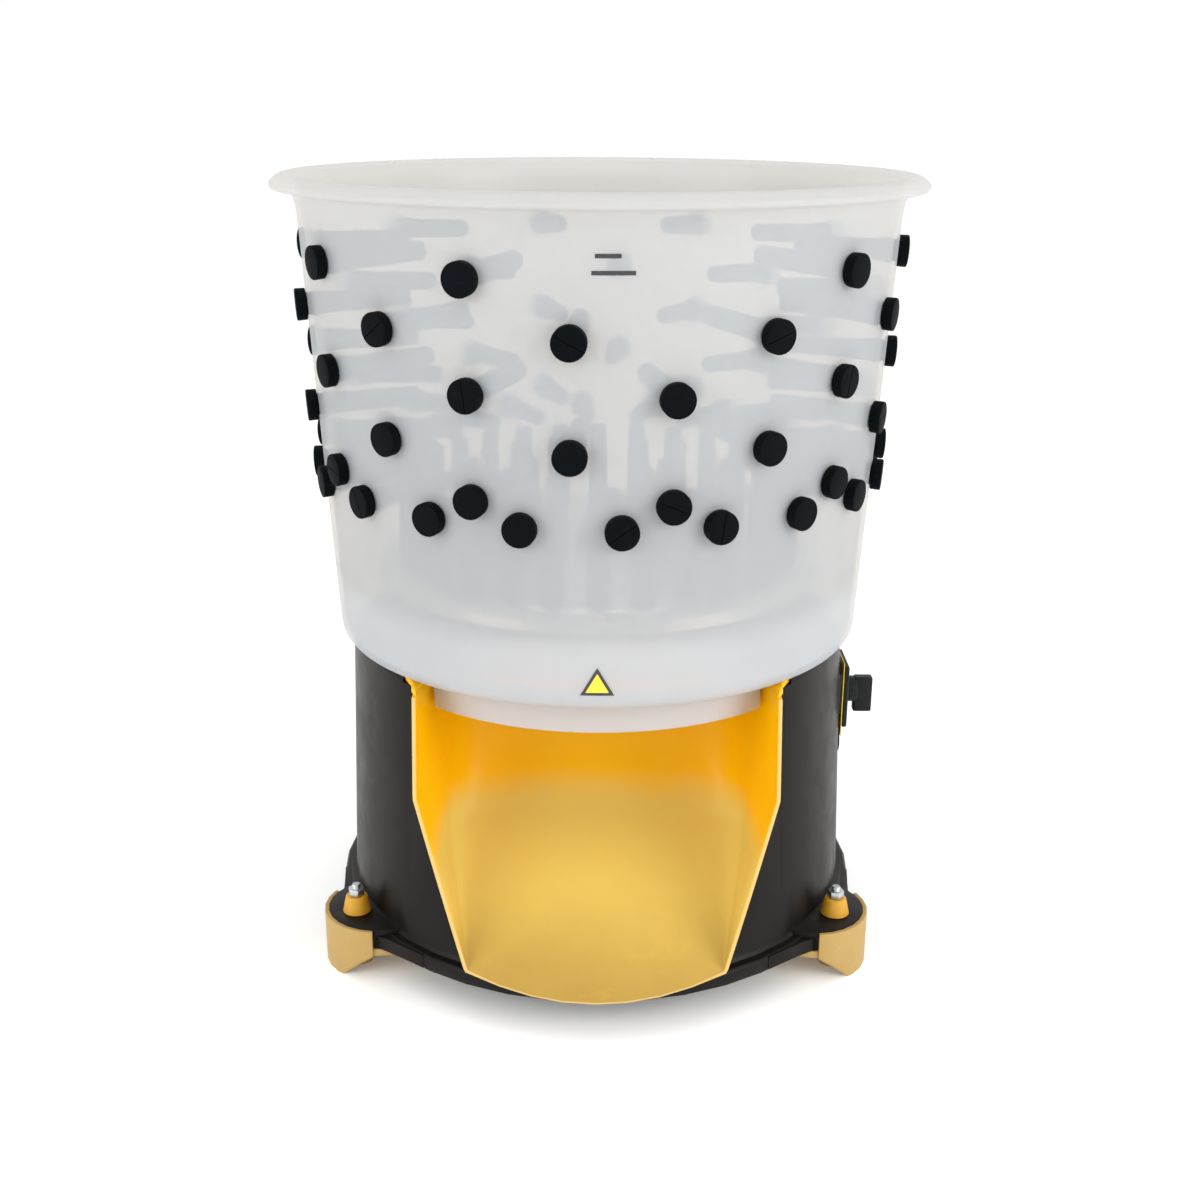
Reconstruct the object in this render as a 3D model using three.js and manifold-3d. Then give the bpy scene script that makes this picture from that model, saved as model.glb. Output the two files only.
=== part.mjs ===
// Drum poultry plucker: a translucent tub full of rubber fingers over a
// turning finger plate, on a round base with a feather chute and three feet.
// Millimetres, +Z up, rotor axis on Z, floor at Z = 0, chute towards -Y.
import * as THREE from 'three';
import { mergeVertices } from 'three/addons/utils/BufferGeometryUtils.js';
import Module from 'manifold-3d';

const wasm = await Module();
wasm.setup();

// ---- driving dimensions ----
const CUT_GAP = 0.4;
const RIM_Z = 695;
const RIM_R = 280;
const TUB_SEGMENTS = 40;
const FACET_TURN = 4.2 + 4.5;
const TUB_FLOOR_Z = 291;
const TUB_WALL = 4;
const WALL_LOW = { r: 238, z: 310 };
const WALL_HIGH = { r: 258, z: 670 };
const OUTLET_R = 204.5;
const COLLAR_Z = 260;
const BASE_TOP_Z = 290.5;
const BASE_WALL = 4.4;
const FLANGE = { r: 246, low: 31, high: 44 };
const LUG = { lobe: 227, r: 48.5, bolt: 252, top: 49 };
const FOOT_AZIMUTHS = { left: -60, right: 60, rear: 180 };
const CHUTE_WALL = 3.5;
const LIP = { y: -256, z: 37 };
const CHUTE_SLOPE = 0.6;
const PLATE_TOP = 362;
const PLATE_THICK = 4;
const PLATE_R = 203;
const PLATE_FINGER_TOP = 437.5;
const MOTOR_PLATE = { low: 86, high: 90 };
const MOTOR_Y = 120;
const SHAFT_R = 10;
const BELT = { low: 54, high: 70, thick: 5 };
const PULLEY_R = { rotor: 85, motor: 17 };
const SWITCH = { x: 231.6, z: 219 };
const INLET_Z = 167;

// Rows of wall fingers: height at the wall, first azimuth and spacing.
const FINGER_ROWS = [
  { z: 632, start: 13.2, step: 36, skip: 0 },
  { z: 589, start: -4.8, step: 36, skip: -1 },
  { z: 546, start: 13.2, step: 36, skip: -1 },
  { z: 503, start: -4.8, step: 36, skip: -1 },
  { z: 463.5, start: 13.2, step: 36, skip: -1 },
  { z: 444.5, start: 4.2, step: 18, skip: -1 },
];
const PLATE_RINGS = [
  { name: 'inner', r: 66, count: 10 },
  { name: 'middle', r: 120, count: 18 },
  { name: 'outer', r: 173.5, count: 28 },
];

// ---- materials ----
function finish(color, roughness, metalness = 0) {
  return new THREE.MeshStandardMaterial({ color, roughness, metalness });
}
const milky = finish('#dcdcd8', 0.45);
const rubber = finish('#25292b', 0.8);
const charcoal = finish('#35322f', 0.55);
const yellow = finish('#e0a524', 0.45);
const paleYellow = finish('#e4b663', 0.6);
const steel = finish('#b9bcbe', 0.3, 1);
const zinc = finish('#c9ccce', 0.35, 1);
const castAlloy = finish('#8d9194', 0.5, 1);
const motorGrey = finish('#6d7479', 0.5, 0.3);
const blackPlastic = finish('#262b2c', 0.5);
const labelYellow = finish('#f0c020', 0.5);

// ---- solid helpers ----
function flipped(geometry) {
  const index = geometry.getIndex().array;
  for (let i = 0; i < index.length; i += 3) {
    const keep = index[i];
    index[i] = index[i + 1];
    index[i + 1] = keep;
  }
  return geometry;
}

function signedVolume(geometry) {
  const p = geometry.getAttribute('position');
  const index = geometry.getIndex().array;
  const a = new THREE.Vector3();
  const b = new THREE.Vector3();
  const c = new THREE.Vector3();
  let total = 0;
  for (let i = 0; i < index.length; i += 3) {
    a.fromBufferAttribute(p, index[i]);
    b.fromBufferAttribute(p, index[i + 1]);
    c.fromBufferAttribute(p, index[i + 2]);
    total += a.dot(b.cross(c)) / 6;
  }
  return total;
}

function solid(source) {
  let geometry = source.clone();
  geometry.deleteAttribute('normal');
  geometry.deleteAttribute('uv');
  geometry = mergeVertices(geometry, 1e-4);
  if (signedVolume(geometry) < 0) {
    geometry = flipped(geometry);
  }
  const vertProperties = new Float32Array(geometry.getAttribute('position').array);
  const triVerts = new Uint32Array(geometry.getIndex().array);
  return new wasm.Manifold(new wasm.Mesh({ numProp: 3, vertProperties, triVerts }));
}

function joined(pieces) {
  return pieces.reduce((whole, piece) => whole.add(piece));
}

const group = new THREE.Group();
group.name = 'poultry_plucker';

function addPiece(name, body, material) {
  const mesh = body.getMesh();
  const geometry = new THREE.BufferGeometry();
  const position = new THREE.BufferAttribute(new Float32Array(mesh.vertProperties), 3);
  geometry.setAttribute('position', position);
  geometry.setIndex(new THREE.BufferAttribute(new Uint32Array(mesh.triVerts), 1));
  geometry.computeVertexNormals();
  const piece = new THREE.Mesh(geometry, material);
  piece.name = name;
  group.add(piece);
}

// A profile of [radius, height] pairs turned about the vertical axis.
function turned(profile, segments, phase = 0) {
  const points = profile.map(([r, z]) => new THREE.Vector2(r, z));
  if (profile[0][0] > 0) {
    points.push(points[0].clone());
  }
  const geometry = new THREE.LatheGeometry(points, segments);
  geometry.rotateX(Math.PI / 2);
  geometry.rotateZ(phase);
  return solid(geometry);
}

function disc(radius, low, high, segments = 24) {
  return turned([[0, low], [radius, low], [radius, high], [0, high]], segments);
}

function ring(inner, outer, low, high, segments = 24) {
  return turned([[inner, low], [outer, low], [outer, high], [inner, high]], segments);
}

function block(x, y, z) {
  const geometry = new THREE.BoxGeometry(x[1] - x[0], y[1] - y[0], z[1] - z[0]);
  geometry.translate((x[0] + x[1]) / 2, (y[0] + y[1]) / 2, (z[0] + z[1]) / 2);
  return solid(geometry);
}

function outline(points) {
  return new THREE.Shape(points.map(([x, y]) => new THREE.Vector2(x, y)));
}

// Outline in plan, raised from one height to another.
function slab(points, low, high) {
  const geometry = new THREE.ExtrudeGeometry(outline(points), { depth: high - low, bevelEnabled: false });
  geometry.translate(0, 0, low);
  return solid(geometry);
}

// Outline of [x, z] pairs seen from the front, run along Y.
function frontPrism(points, near, far) {
  const geometry = new THREE.ExtrudeGeometry(outline(points), { depth: far - near, bevelEnabled: false });
  geometry.rotateX(Math.PI / 2);
  geometry.translate(0, far, 0);
  return solid(geometry);
}

// Outline of [y, z] pairs seen from the side, run across X.
function sidePrism(points, half) {
  const geometry = new THREE.ExtrudeGeometry(outline(points), { depth: 2 * half, bevelEnabled: false });
  geometry.rotateX(Math.PI / 2);
  geometry.rotateZ(Math.PI / 2);
  geometry.translate(-half, 0, 0);
  return solid(geometry);
}

// Azimuth 0 looks to the front (-Y) and grows towards +X.
function radians(degrees) {
  return degrees * Math.PI / 180;
}

function turnedTo(body, azimuth) {
  return body.rotate([0, 0, azimuth]);
}

function mirrored(points) {
  const other = points.map(([x, z]) => [-x, z]).reverse();
  return points.concat(other);
}

// ---- tub ----
function wallRadius(z) {
  const rise = (z - WALL_LOW.z) / (WALL_HIGH.z - WALL_LOW.z);
  return WALL_LOW.r + rise * (WALL_HIGH.r - WALL_LOW.r);
}
const WALL_TILT = Math.atan2(WALL_HIGH.r - WALL_LOW.r, WALL_HIGH.z - WALL_LOW.z);

const tubProfile = [
  [0, TUB_FLOOR_Z], [223, TUB_FLOOR_Z], [233, 295.5],
  [WALL_LOW.r, WALL_LOW.z], [WALL_HIGH.r, WALL_HIGH.z],
  [262, 680], [268, 683], [278.5, 683.5], [RIM_R, 687],
  [272, RIM_Z], [261, RIM_Z], [WALL_HIGH.r - TUB_WALL, 684],
  [WALL_LOW.r - TUB_WALL, WALL_LOW.z], [232, 302], [222, TUB_FLOOR_Z + TUB_WALL],
  [0, TUB_FLOOR_Z + TUB_WALL],
];

// Outlet in the tub floor: a circle segment in front of the rotor shaft.
function outletPlan(radius, half, rear, rearHalf) {
  const edge = Math.asin(half / radius);
  const points = [[rearHalf, rear]];
  for (let i = 0; i <= 12; i += 1) {
    const a = edge - (2 * edge * i) / 12;
    points.push([radius * Math.sin(a), -radius * Math.cos(a)]);
  }
  points.push([-rearHalf, rear]);
  return points;
}
const collarPlan = outletPlan(OUTLET_R, 139, -75, 122.5);
const outletCut = outletPlan(OUTLET_R - TUB_WALL, 134.8, -79, 118.5);

// ---- rubber fingers through the tub wall ----
const HEX = 6;
function hexTurned(profile) {
  const points = profile.map(([r, y]) => new THREE.Vector2(r, y));
  return new THREE.LatheGeometry(points, HEX);
}

// Lathe axis laid on the wall normal, head outside and tip pointing in.
function placeOnWall(geometry, azimuth, z) {
  geometry.rotateX(Math.PI / 2);
  geometry.rotateX(Math.PI / 2 + WALL_TILT);
  geometry.translate(0, -wallRadius(z), z);
  geometry.rotateZ(radians(azimuth));
  return solid(geometry);
}

function wallFinger(azimuth, z) {
  const profile = [
    [0, -88], [7.5, -88], [9.5, 0.5], [13.8, 0.5], [13.8, 9.5], [0, 9.5],
  ];
  return placeOnWall(hexTurned(profile), azimuth, z);
}

function fingerHole(azimuth, z) {
  const r = 9.5 + CUT_GAP;
  return placeOnWall(hexTurned([[0, -12], [r, -12], [r, 8], [0, 8]]), azimuth, z);
}

function rowAzimuths(row) {
  const list = [];
  for (let i = 0; i < 360 / row.step; i += 1) {
    if (i !== row.skip) {
      list.push(row.start + i * row.step);
    }
  }
  return list;
}

// Each row hangs on a slim inner hoop so the whole row is one piece.
function fingerRow(row) {
  const r = wallRadius(row.z);
  const hoop = turned(
    [[r - 9.6, row.z - 3], [r - 6.6, row.z - 3], [r - 6.6, row.z + 3], [r - 9.6, row.z + 3]],
    20, radians(row.start));
  return joined([hoop].concat(rowAzimuths(row).map((azimuth) => wallFinger(azimuth, row.z))));
}

const TUB_SCREWS = [100, 180, 260];
function buildTub() {
  let tub = turned(tubProfile, TUB_SEGMENTS, radians(FACET_TURN - 90));
  tub = tub.add(slab(collarPlan, COLLAR_Z, TUB_FLOOR_Z + 1));
  tub = tub.add(disc(22, TUB_FLOOR_Z + 1, 315));
  const holes = [slab(outletCut, COLLAR_Z - 5, 300), disc(14, 280, 330)];
  for (const row of FINGER_ROWS) {
    for (const azimuth of rowAzimuths(row)) {
      holes.push(fingerHole(azimuth, row.z));
    }
  }
  for (const azimuth of TUB_SCREWS) {
    holes.push(turnedTo(disc(4.8, 280, 300, 8).translate([0, -205, 0]), azimuth));
  }
  return tub.subtract(joined(holes));
}
addPiece('tub', buildTub(), milky);
FINGER_ROWS.forEach((row, i) => addPiece('wall_fingers_row_' + (i + 1), fingerRow(row), rubber));

// ---- feather chute ----
function ramp(y) {
  return LIP.z + CHUTE_SLOPE * (y - LIP.y);
}

function chuteSide(drop, back) {
  const top = 292 + drop;
  return [
    [-300, ramp(-300) - 1.17 * drop], [-81 + 0.5 * drop, 142 - 0.86 * drop],
    [-72.3 + 0.82 * drop, 150.2 - 0.57 * drop], [-67.8 + drop, 161.2 - 0.17 * drop],
    [-44.7 + back, top], [-300, top],
  ];
}

function chuteFront(grow) {
  return mirrored([
    [95 + grow, 5], [103 + grow, 33], [151.5 + grow, 195], [149.5 + grow, 300],
  ]);
}

function chutePlan(grow) {
  return mirrored([
    [152 + grow, -300], [152 + grow, -180], [126 + grow, -62], [110 + grow, -20],
  ]);
}

function chuteVolume(grow) {
  return sidePrism(chuteSide(grow, grow), 200)
    .intersect(frontPrism(chuteFront(grow), -300, -20))
    .intersect(slab(chutePlan(grow), 0, 300));
}

// The open front edge follows the round base with a little stand-off.
function chuteEnvelope() {
  return turned([[0, 20], [257, 20], [242.5, 295], [0, 295]], 96);
}

function chuteFlange(grow) {
  return slab([
    [-164 - grow, -300], [164 + grow, -300], [164 + grow, -150], [139 + grow, -34 + grow],
    [-139 - grow, -34 + grow], [-164 - grow, -150],
  ], 285 - grow, BASE_TOP_Z + grow);
}

function buildChute() {
  const flange = chuteFlange(0).intersect(turned([[0, 280], [244, 280], [242, 295], [0, 295]], 96));
  const shell = chuteVolume(CHUTE_WALL).intersect(chuteEnvelope());
  const trimmed = shell.subtract(block([-300, 300], [-300, 300], [BASE_TOP_Z, 400]));
  return trimmed.add(flange).subtract(chuteVolume(0));
}
addPiece('chute', buildChute(), yellow);

// ---- base shell ----
function baseRadius(z) {
  return 234.8 - (z - 48) * (8.5 / 238);
}

const baseProfile = [
  [FLANGE.r, FLANGE.low], [FLANGE.r, FLANGE.high - 2], [FLANGE.r - 2, FLANGE.high],
  [237.5, FLANGE.high], [baseRadius(48), 48], [baseRadius(286), 286], [225.3, BASE_TOP_Z],
  [221.8, BASE_TOP_Z], [baseRadius(36) - BASE_WALL, 36], [192, 36], [192, FLANGE.low],
];
const PLATE_PADS = [75, 138, 222, 285];

function lug(azimuth) {
  const lobe = disc(LUG.r, FLANGE.low, LUG.top, 32).translate([0, -LUG.lobe, 0]);
  return turnedTo(lobe, azimuth);
}

// Web in plan that eases the flange into one side of a lug.
function lugBlend(azimuth, side) {
  const start = [92.2, -228.1];
  const turn = [44.2, -247.5];
  const end = [42, -251.25];
  const points = [[30, -240], [85, -215]];
  for (let i = 0; i <= 6; i += 1) {
    const t = i / 6;
    points.push([0, 1].map((k) => (1 - t) ** 2 * start[k] + 2 * t * (1 - t) * turn[k] + t * t * end[k]));
  }
  return turnedTo(slab(points.map(([x, y]) => [side * x, y]), FLANGE.low, FLANGE.high - 0.6), azimuth);
}

function pad(azimuth, near, far, width, low, high) {
  return turnedTo(block([-width / 2, width / 2], [-far, -near], [low, high]), azimuth);
}

function drilled(radius, at, azimuth, low, high) {
  return turnedTo(disc(radius, low, high, 8).translate([0, -at, 0]), azimuth);
}

function buildBase() {
  const lugs = Object.values(FOOT_AZIMUTHS).map(lug);
  const cavity = turned([[0, 36], [baseRadius(36) - BASE_WALL, 36], [221.8, 291], [0, 291]], 40);
  const pads = PLATE_PADS.map((azimuth) => pad(azimuth, 208, 230.5, 18, 34, MOTOR_PLATE.low - 0.3));
  const tubPads = TUB_SCREWS.map((azimuth) => pad(azimuth, 194, 223, 20, 250, BASE_TOP_Z));
  const bore = disc(192, 20, 40, 40);
  let shell = joined(lugs).subtract(cavity).subtract(bore).add(turned(baseProfile, 40));
  const blends = Object.values(FOOT_AZIMUTHS).flatMap((a) => [lugBlend(a, 1), lugBlend(a, -1)]);
  shell = shell.add(joined(pads.concat(tubPads, blends)));
  const cuts = [chuteVolume(CHUTE_WALL + CUT_GAP), chuteFlange(CUT_GAP)];
  Object.values(FOOT_AZIMUTHS).forEach((a) => cuts.push(drilled(4.8, LUG.bolt, a, 20, 60)));
  PLATE_PADS.forEach((a) => cuts.push(drilled(4.6, 216, a, 62, 90)));
  TUB_SCREWS.forEach((a) => cuts.push(drilled(4.8, 205, a, 262, 295)));
  GUARD_SCREWS.forEach((a) => cuts.push(drilled(2.6, 198, a, 32.5, 40)));
  cuts.push(block([200, 240], [-20, 20], [197, 241]));
  cuts.push(across(10.5, 200, 240, INLET_Z, 16));
  return shell.subtract(joined(cuts));
}

// Round bar running outwards along +X.
function across(radius, near, far, z, segments = 24) {
  const geometry = new THREE.CylinderGeometry(radius, radius, far - near, segments);
  geometry.rotateZ(Math.PI / 2);
  geometry.translate((near + far) / 2, 0, z);
  return solid(geometry);
}

const GUARD_SCREWS = [0, 120, 240];
addPiece('base_shell', buildBase(), charcoal);

// ---- feet ----
const FOOT_BAND = { inner: LUG.r + 0.5, outer: 52.9, span: 57 };

function footBandPlan() {
  const points = [];
  const steps = 8;
  for (let i = 0; i <= steps; i += 1) {
    const a = radians(-FOOT_BAND.span + (2 * FOOT_BAND.span * i) / steps);
    points.push([FOOT_BAND.outer * Math.sin(a), -FOOT_BAND.outer * Math.cos(a)]);
  }
  for (let i = steps; i >= 0; i -= 1) {
    const a = radians(-FOOT_BAND.span + (2 * FOOT_BAND.span * i) / steps);
    points.push([FOOT_BAND.inner * Math.sin(a), -FOOT_BAND.inner * Math.cos(a)]);
  }
  return points;
}

function buildFoot() {
  const side = [[18.5, -1], [47, 28], [90, 28], [90, -1]];
  const other = side.map(([x, z]) => [-x, z]).reverse();
  let foot = slab(footBandPlan(), 0, LUG.top);
  foot = foot.subtract(frontPrism(side, -90, 90)).subtract(frontPrism(other, -90, 90));
  foot = foot.add(disc(FOOT_BAND.inner + 1.2, 24, FLANGE.low - 0.4, 24));
  const post = disc(14, 0, 25, 12).translate([0, LUG.lobe - LUG.bolt, 0]);
  const rib = block([-3, 3], [-50, 20], [8, 25]);
  foot = foot.add(post).add(rib);
  const bore = disc(4.8, -5, 40, 8).translate([0, LUG.lobe - LUG.bolt, 0]);
  const sink = disc(9, -5, 9, 12).translate([0, LUG.lobe - LUG.bolt, 0]);
  return foot.subtract(bore).subtract(sink).translate([0, -LUG.lobe, 0]);
}

function hexHead(width, low, high) {
  return disc(width / Math.sqrt(3), low, high, 6);
}

for (const [side, azimuth] of Object.entries(FOOT_AZIMUTHS)) {
  const cap = turned([[4.6, 49.4], [13, 49.4], [9.6, 65], [4.6, 65]], 16);
  const bolt = hexHead(13, 3.4, 8.7).add(disc(4, 8, 76, 8));
  const nut = hexHead(13, 65.4, 72).subtract(disc(4.4, 60, 80, 8));
  addPiece('foot_' + side, turnedTo(buildFoot(), azimuth), paleYellow);
  addPiece('foot_cap_' + side, turnedTo(cap.translate([0, -LUG.bolt, 0]), azimuth), yellow);
  addPiece('foot_bolt_' + side, turnedTo(bolt.translate([0, -LUG.bolt, 0]), azimuth), zinc);
  addPiece('foot_nut_' + side, turnedTo(nut.translate([0, -LUG.bolt, 0]), azimuth), zinc);
}

// ---- turning finger plate ----
const PLATE_BOTTOM = PLATE_TOP - PLATE_THICK;
function plateFingerSpots(layout) {
  const spots = [];
  for (let i = 0; i < layout.count; i += 1) {
    spots.push((360 / layout.count) * i);
  }
  return spots;
}

function plateFinger(layout, azimuth, profile) {
  const geometry = hexTurned(profile);
  geometry.rotateX(Math.PI / 2);
  geometry.translate(0, -layout.r, 0);
  geometry.rotateZ(radians(azimuth));
  return solid(geometry);
}

function buildPlate() {
  const profile = [
    [SHAFT_R + 0.3, PLATE_BOTTOM], [187, PLATE_BOTTOM], [194, 354], [199.5, 345], [PLATE_R, 345],
    [197, 357], [188, PLATE_TOP], [SHAFT_R + 0.3, PLATE_TOP],
  ];
  const hole = [[0, 340], [9.9, 340], [9.9, 380], [0, 380]];
  const holes = [];
  for (const layout of PLATE_RINGS) {
    plateFingerSpots(layout).forEach((a) => holes.push(plateFinger(layout, a, hole)));
  }
  return turned(profile, 40).subtract(joined(holes));
}
addPiece('rotor_plate', buildPlate(), steel);

// Plate fingers stand up through the plate, joined by a slim ring below it.
function buildPlateRing(layout) {
  const low = PLATE_BOTTOM - CUT_GAP;
  const profile = [
    [0, low - 8], [13, low - 8], [13, low], [9.4, low], [8, PLATE_FINGER_TOP], [0, PLATE_FINGER_TOP],
  ];
  const web = ring(layout.r - 5, layout.r + 3, low - 7, low - 4, layout.count);
  return joined([web].concat(plateFingerSpots(layout).map((a) => plateFinger(layout, a, profile))));
}
PLATE_RINGS.forEach((layout) => addPiece('plate_fingers_' + layout.name, buildPlateRing(layout), rubber));

addPiece('rotor_hub', turned([
  [SHAFT_R + 0.4, 318], [25, 318], [25, 302], [30, 302], [30, 340], [44, 345],
  [44, PLATE_BOTTOM - 0.3], [SHAFT_R + 0.4, PLATE_BOTTOM - 0.3],
], 20), castAlloy);
addPiece('hub_cap_nut', turned([
  [0, 375], [SHAFT_R + 0.4, 375], [SHAFT_R + 0.4, PLATE_TOP + 0.3], [20, PLATE_TOP + 0.3],
  [20, 372], [14, 384], [0, 387],
], 20), steel);
addPiece('drive_shaft', disc(SHAFT_R, 46, 374, 20), steel);
addPiece('shaft_seal', ring(SHAFT_R + 0.4, 13.6, 300, 308, 20), rubber);

// ---- bearings and drive under the tub ----
addPiece('bearing_housing', turned([
  [24, 90.4], [44, 90.4], [44, 98], [31, 101], [31, 203], [24, 203], [24, 182], [18, 182],
  [18, 108], [24, 108],
], 20), castAlloy);
addPiece('bearing_upper', ring(SHAFT_R + 0.4, 23.6, 182.4, 196.4, 20), steel);
addPiece('bearing_lower', ring(SHAFT_R + 0.4, 23.6, 93.4, 107.4, 20), steel);

function motorPlatePlan() {
  const points = [];
  for (let i = 0; i <= 16; i += 1) {
    const a = radians(62 + (236 * i) / 16);
    points.push([224 * Math.sin(a), -224 * Math.cos(a)]);
  }
  return points;
}
const MOTOR_SCREWS = [[-48, -48], [48, -48], [48, 48], [-48, 48]];

function buildMotorPlate() {
  const low = MOTOR_PLATE.low - 10;
  const high = MOTOR_PLATE.high + 10;
  const holes = [disc(15, low, high, 12), disc(20, low, high, 12).translate([0, MOTOR_Y, 0])];
  PLATE_PADS.forEach((a) => holes.push(drilled(4.8, 216, a, low, high)));
  MOTOR_SCREWS.forEach(([x, y]) => {
    holes.push(disc(4.8, low, high, 8).translate([x, y + MOTOR_Y, 0]));
  });
  return slab(motorPlatePlan(), MOTOR_PLATE.low, MOTOR_PLATE.high).subtract(joined(holes));
}
addPiece('motor_plate', buildMotorPlate(), zinc);

function screw(width, headLow, headHigh, shankLow, shankRadius) {
  return hexHead(width, headLow, headHigh).add(disc(shankRadius, shankLow, headLow + 1, 8));
}

PLATE_PADS.forEach((azimuth, i) => {
  const body = screw(13, 90.4, 96, 66, 3.9).translate([0, -216, 0]);
  addPiece('plate_screw_' + (i + 1), turnedTo(body, azimuth), zinc);
});

function buildMotor() {
  const body = turned([
    [0, 90.4], [52, 90.4], [52, 176], [44, 192], [0, 195],
  ], 24);
  const foot = block([-58, 58], [-58, 58], [90.4, 98]);
  const box = block([-24, 24], [48, 66], [110, 165]);
  const bore = disc(7.4, 80, 97, 16);
  const holes = MOTOR_SCREWS.map(([x, y]) => disc(4.8, 80, 105, 8).translate([x, y, 0]));
  return body.add(foot).add(box).subtract(bore).subtract(joined(holes)).translate([0, MOTOR_Y, 0]);
}
addPiece('motor_body', buildMotor(), motorGrey);
MOTOR_SCREWS.forEach(([x, y], i) => {
  const body = screw(13, 98.4, 104, 78, 4).translate([x, y + MOTOR_Y, 0]);
  addPiece('motor_screw_' + (i + 1), body, zinc);
});
addPiece('motor_shaft', disc(7, 48, 96.4, 16).translate([0, MOTOR_Y, 0]), steel);

addPiece('motor_pulley', ring(7.4, PULLEY_R.motor, 52, 72, 16).translate([0, MOTOR_Y, 0]), castAlloy);
addPiece('rotor_pulley', turned([
  [SHAFT_R + 0.4, 50], [24, 50], [28, 52], [PULLEY_R.rotor, 52], [PULLEY_R.rotor, 72],
  [28, 72], [24, 76], [SHAFT_R + 0.4, 76],
], 32), castAlloy);

// Belt outline: two arcs and the straight runs between them.
function beltPlan(grow) {
  const big = PULLEY_R.rotor + grow;
  const small = PULLEY_R.motor + grow;
  const lean = Math.asin((big - small) / MOTOR_Y);
  const points = [];
  for (let i = 0; i <= 28; i += 1) {
    const a = Math.PI - lean + (Math.PI + 2 * lean) * (i / 28);
    points.push([big * Math.cos(a), big * Math.sin(a)]);
  }
  for (let i = 0; i <= 8; i += 1) {
    const a = lean + (Math.PI - 2 * lean) * (i / 8);
    points.push([small * Math.cos(a), MOTOR_Y + small * Math.sin(a)]);
  }
  return points;
}
const beltOuter = slab(beltPlan(0.9 + BELT.thick), BELT.low, BELT.high);
const beltInner = slab(beltPlan(0.9), BELT.low - 5, BELT.high + 5);
addPiece('drive_belt', beltOuter.subtract(beltInner), rubber);

// ---- bottom guard and tub screws ----
function buildGuard() {
  const holes = GUARD_SCREWS.map((a) => drilled(2.8, 198, a, 30, 45));
  return disc(204, 36.4, 38.4, 40).subtract(joined(holes));
}
addPiece('bottom_guard', buildGuard(), blackPlastic);
GUARD_SCREWS.forEach((azimuth, i) => {
  const body = disc(5, 38.8, 41.5, 10).add(disc(2.2, 33, 39, 6)).translate([0, -198, 0]);
  addPiece('guard_screw_' + (i + 1), turnedTo(body, azimuth), zinc);
});
TUB_SCREWS.forEach((azimuth, i) => {
  const body = disc(8, 295.4, 299.5, 12).add(disc(4, 266, 296, 8)).translate([0, -205, 0]);
  addPiece('tub_screw_' + (i + 1), turnedTo(body, azimuth), zinc);
});

// ---- rotary switch and power inlet on the right side ----
function boxX(x, halfY, z) {
  return block(x, [-halfY, halfY], z);
}
const spindleHole = across(3.6, 180, 300, SWITCH.z, 12);
addPiece('switch_label', boxX([230.6, 231.3], 27, [181, 254]).subtract(boxX([200, 240], 18.6, [199, 239])),
  labelYellow);
addPiece('switch_plate', boxX([SWITCH.x, 236.6], 25, [189, 250]).subtract(spindleHole), blackPlastic);
addPiece('switch_body', boxX([196, SWITCH.x - 0.3], 18, [199.6, 238.4]).subtract(
  across(3.6, 215, 300, SWITCH.z, 12)), motorGrey);

function buildKnob() {
  const neck = across(13, 236.9, 248, SWITCH.z, 24);
  const grip = boxX([245, 262.5], 5.5, [SWITCH.z - 22, SWITCH.z + 13]);
  return neck.add(grip).add(across(3, 218, 238, SWITCH.z, 12));
}
addPiece('switch_knob', buildKnob(), blackPlastic);
addPiece('power_inlet', across(10, 204, 232, INLET_Z, 16).add(across(12.5, 231.2, 233, INLET_Z, 20))
  .subtract(across(6.5, 216, 240, INLET_Z, 16)), blackPlastic);

export default group;
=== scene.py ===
import math

import bmesh
import bpy
from mathutils import Matrix, Vector


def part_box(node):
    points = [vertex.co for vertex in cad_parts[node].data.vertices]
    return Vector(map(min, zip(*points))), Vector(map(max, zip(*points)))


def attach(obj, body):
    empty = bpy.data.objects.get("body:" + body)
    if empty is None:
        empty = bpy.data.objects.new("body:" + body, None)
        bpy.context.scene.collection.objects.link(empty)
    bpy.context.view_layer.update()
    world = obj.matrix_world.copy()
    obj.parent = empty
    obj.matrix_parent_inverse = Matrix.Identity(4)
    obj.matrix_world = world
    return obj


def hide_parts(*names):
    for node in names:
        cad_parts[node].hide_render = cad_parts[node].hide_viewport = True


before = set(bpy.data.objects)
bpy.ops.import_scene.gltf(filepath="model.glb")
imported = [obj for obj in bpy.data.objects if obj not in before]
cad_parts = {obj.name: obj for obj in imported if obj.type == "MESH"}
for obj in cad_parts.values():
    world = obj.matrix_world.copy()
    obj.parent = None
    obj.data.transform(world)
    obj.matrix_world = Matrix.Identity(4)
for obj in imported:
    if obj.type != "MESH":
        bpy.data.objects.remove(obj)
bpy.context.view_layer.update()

mm = 0.001
scene = bpy.context.scene


# ---- small helpers ----

def toLinear(hexColour):
    digits = hexColour.lstrip("#")
    channels = [int(digits[i:i + 2], 16) / 255 for i in (0, 2, 4)]
    linear = [c / 12.92 if c <= 0.04045 else ((c + 0.055) / 1.055) ** 2.4 for c in channels]
    return linear + [1.0]


# One node with its settings; a value that is a socket becomes a link.
def addNode(tree, kind, settings=None, inputs=None):
    node = tree.nodes.new(kind)
    for name, value in (settings or {}).items():
        setattr(node, name, value)
    for key, value in (inputs or {}).items():
        if isinstance(value, bpy.types.NodeSocket):
            tree.links.new(value, node.inputs[key])
        else:
            node.inputs[key].default_value = value
    return node


def emptyMaterial(name):
    material = bpy.data.materials.new(name)
    material.use_nodes = True
    material.node_tree.nodes.clear()
    return material


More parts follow.
